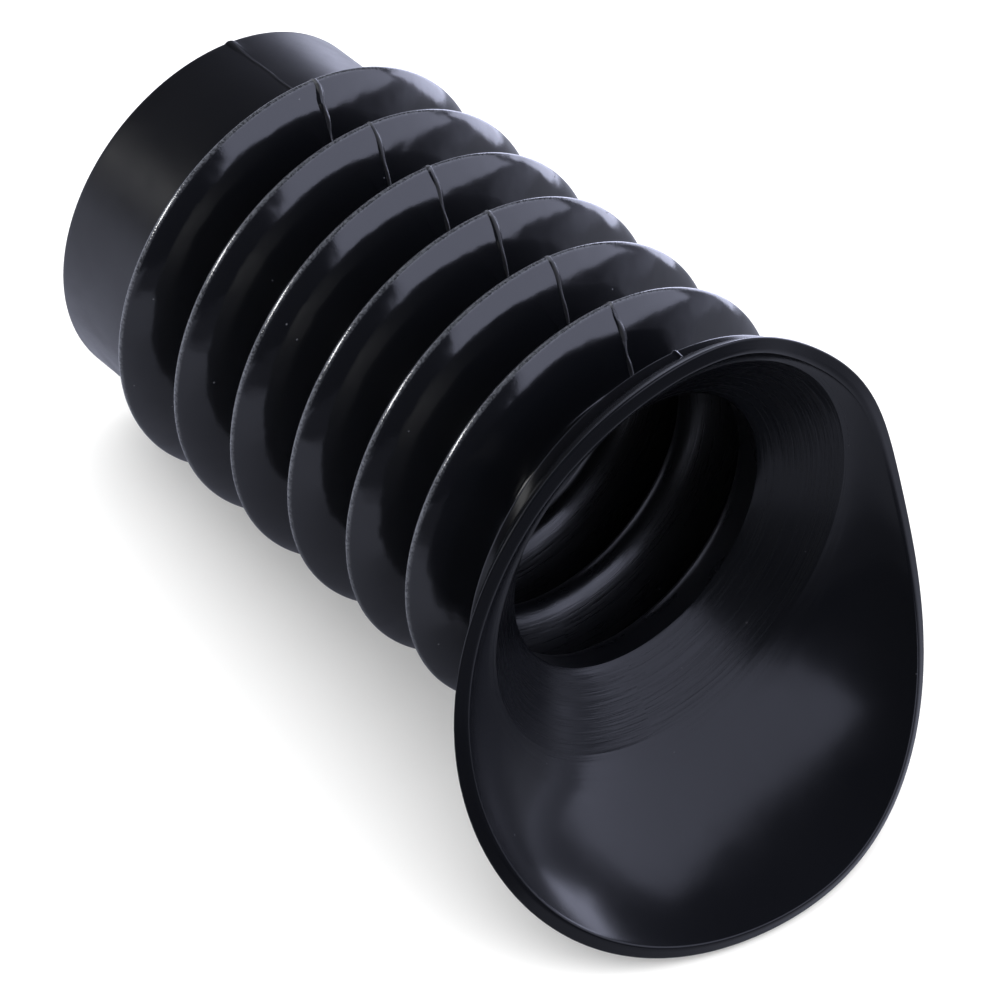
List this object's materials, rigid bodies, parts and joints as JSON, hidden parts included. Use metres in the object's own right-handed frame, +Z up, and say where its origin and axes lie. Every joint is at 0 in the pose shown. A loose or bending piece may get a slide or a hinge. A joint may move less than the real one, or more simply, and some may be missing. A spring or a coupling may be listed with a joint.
{
  "type": "folding rubber eye guard",
  "caption": "Soft black rubber eye guard for an optical eyepiece: a slip-on sleeve, a row of bellows folds that squeeze and bend, and a winged eye cup.",
  "frame": {"origin": "centre of the sleeve's open end face, on the bore's axis", "axes": "+X along the bore from the sleeve's open end to the eye, +Z up through the short side of the cup, the wing of the cup points to -Z"},
  "size_m": [0.1027, 0.0664, 0.066],
  "materials": {
    "sleeve_rubber": "satin moulded",
    "bellows_rubber": "semi-gloss moulded",
    "cup_rubber": "satin moulded with fine turning marks"
  },
  "bodies": {
    "sleeve": {"mounting_sleeve": "sleeve_rubber", "fold_1_crest": "bellows_rubber"},
    "fold_1_front": {"fold_1_front_flank": "bellows_rubber", "root_1": "bellows_rubber"},
    "fold_2_rear": {"fold_2_rear_flank": "bellows_rubber", "fold_2_crest": "bellows_rubber"},
    "fold_2_front": {"fold_2_front_flank": "bellows_rubber", "root_2": "bellows_rubber"},
    "fold_3_rear": {"fold_3_rear_flank": "bellows_rubber", "fold_3_crest": "bellows_rubber"},
    "fold_3_front": {"fold_3_front_flank": "bellows_rubber", "root_3": "bellows_rubber"},
    "fold_4_rear": {"fold_4_rear_flank": "bellows_rubber", "fold_4_crest": "bellows_rubber"},
    "fold_4_front": {"fold_4_front_flank": "bellows_rubber", "root_4": "bellows_rubber"},
    "fold_5_rear": {"fold_5_rear_flank": "bellows_rubber", "fold_5_crest": "bellows_rubber"},
    "fold_5_front": {"fold_5_front_flank": "bellows_rubber", "root_5": "bellows_rubber"},
    "fold_6_rear": {"fold_6_rear_flank": "bellows_rubber", "fold_6_crest": "bellows_rubber"},
    "fold_6_front": {"fold_6_front_flank": "bellows_rubber", "root_6": "bellows_rubber"},
    "eye_cup": {"cup_shoulder": "cup_rubber", "eye_shield": "cup_rubber"}
  },
  "joints": [
    {"name": "crest_1_nod", "type": "hinge", "parent": "sleeve", "child": "fold_1_front", "pos_m": [0.0154, 0, 0], "axis": [0, 1, 0], "range_deg": [-5, 5], "stiffness_Nm_per_rad": 0.5, "deforming": ["fold_1_crest"]},
    {"name": "root_1_squeeze", "type": "slide", "parent": "fold_1_front", "child": "fold_2_rear", "axis": [1, 0, 0], "range_m": [-0.0028, 0.001], "stiffness_N_per_m": 1200, "deforming": ["root_1"]},
    {"name": "crest_2_turn", "type": "hinge", "parent": "fold_2_rear", "child": "fold_2_front", "pos_m": [0.0256, 0, 0], "axis": [0, 0, 1], "range_deg": [-5, 5], "stiffness_Nm_per_rad": 0.5, "deforming": ["fold_2_crest"]},
    {"name": "root_2_squeeze", "type": "slide", "parent": "fold_2_front", "child": "fold_3_rear", "axis": [1, 0, 0], "range_m": [-0.0028, 0.001], "stiffness_N_per_m": 1200, "deforming": ["root_2"]},
    {"name": "crest_3_nod", "type": "hinge", "parent": "fold_3_rear", "child": "fold_3_front", "pos_m": [0.0358, 0, 0], "axis": [0, 1, 0], "range_deg": [-5, 5], "stiffness_Nm_per_rad": 0.5, "deforming": ["fold_3_crest"]},
    {"name": "root_3_squeeze", "type": "slide", "parent": "fold_3_front", "child": "fold_4_rear", "axis": [1, 0, 0], "range_m": [-0.0028, 0.001], "stiffness_N_per_m": 1200, "deforming": ["root_3"]},
    {"name": "crest_4_turn", "type": "hinge", "parent": "fold_4_rear", "child": "fold_4_front", "pos_m": [0.046, 0, 0], "axis": [0, 0, 1], "range_deg": [-5, 5], "stiffness_Nm_per_rad": 0.5, "deforming": ["fold_4_crest"]},
    {"name": "root_4_squeeze", "type": "slide", "parent": "fold_4_front", "child": "fold_5_rear", "axis": [1, 0, 0], "range_m": [-0.0028, 0.001], "stiffness_N_per_m": 1200, "deforming": ["root_4"]},
    {"name": "crest_5_nod", "type": "hinge", "parent": "fold_5_rear", "child": "fold_5_front", "pos_m": [0.0562, 0, 0], "axis": [0, 1, 0], "range_deg": [-5, 5], "stiffness_Nm_per_rad": 0.5, "deforming": ["fold_5_crest"]},
    {"name": "root_5_squeeze", "type": "slide", "parent": "fold_5_front", "child": "fold_6_rear", "axis": [1, 0, 0], "range_m": [-0.0028, 0.001], "stiffness_N_per_m": 1200, "deforming": ["root_5"]},
    {"name": "crest_6_turn", "type": "hinge", "parent": "fold_6_rear", "child": "fold_6_front", "pos_m": [0.0664, 0, 0], "axis": [0, 0, 1], "range_deg": [-5, 5], "stiffness_Nm_per_rad": 0.5, "deforming": ["fold_6_crest"]},
    {"name": "root_6_squeeze", "type": "slide", "parent": "fold_6_front", "child": "eye_cup", "axis": [1, 0, 0], "range_m": [-0.0028, 0.001], "stiffness_N_per_m": 1200, "deforming": ["root_6"]}
  ],
  "couplings": [
    {"joint": "root_2_squeeze", "follows": "root_1_squeeze", "ratio": 1},
    {"joint": "crest_3_nod", "follows": "crest_1_nod", "ratio": 1},
    {"joint": "root_3_squeeze", "follows": "root_1_squeeze", "ratio": 1},
    {"joint": "crest_4_turn", "follows": "crest_2_turn", "ratio": 1},
    {"joint": "root_4_squeeze", "follows": "root_1_squeeze", "ratio": 1},
    {"joint": "crest_5_nod", "follows": "crest_1_nod", "ratio": 1},
    {"joint": "root_5_squeeze", "follows": "root_1_squeeze", "ratio": 1},
    {"joint": "crest_6_turn", "follows": "crest_2_turn", "ratio": 1},
    {"joint": "root_6_squeeze", "follows": "root_1_squeeze", "ratio": 1}
  ]
}
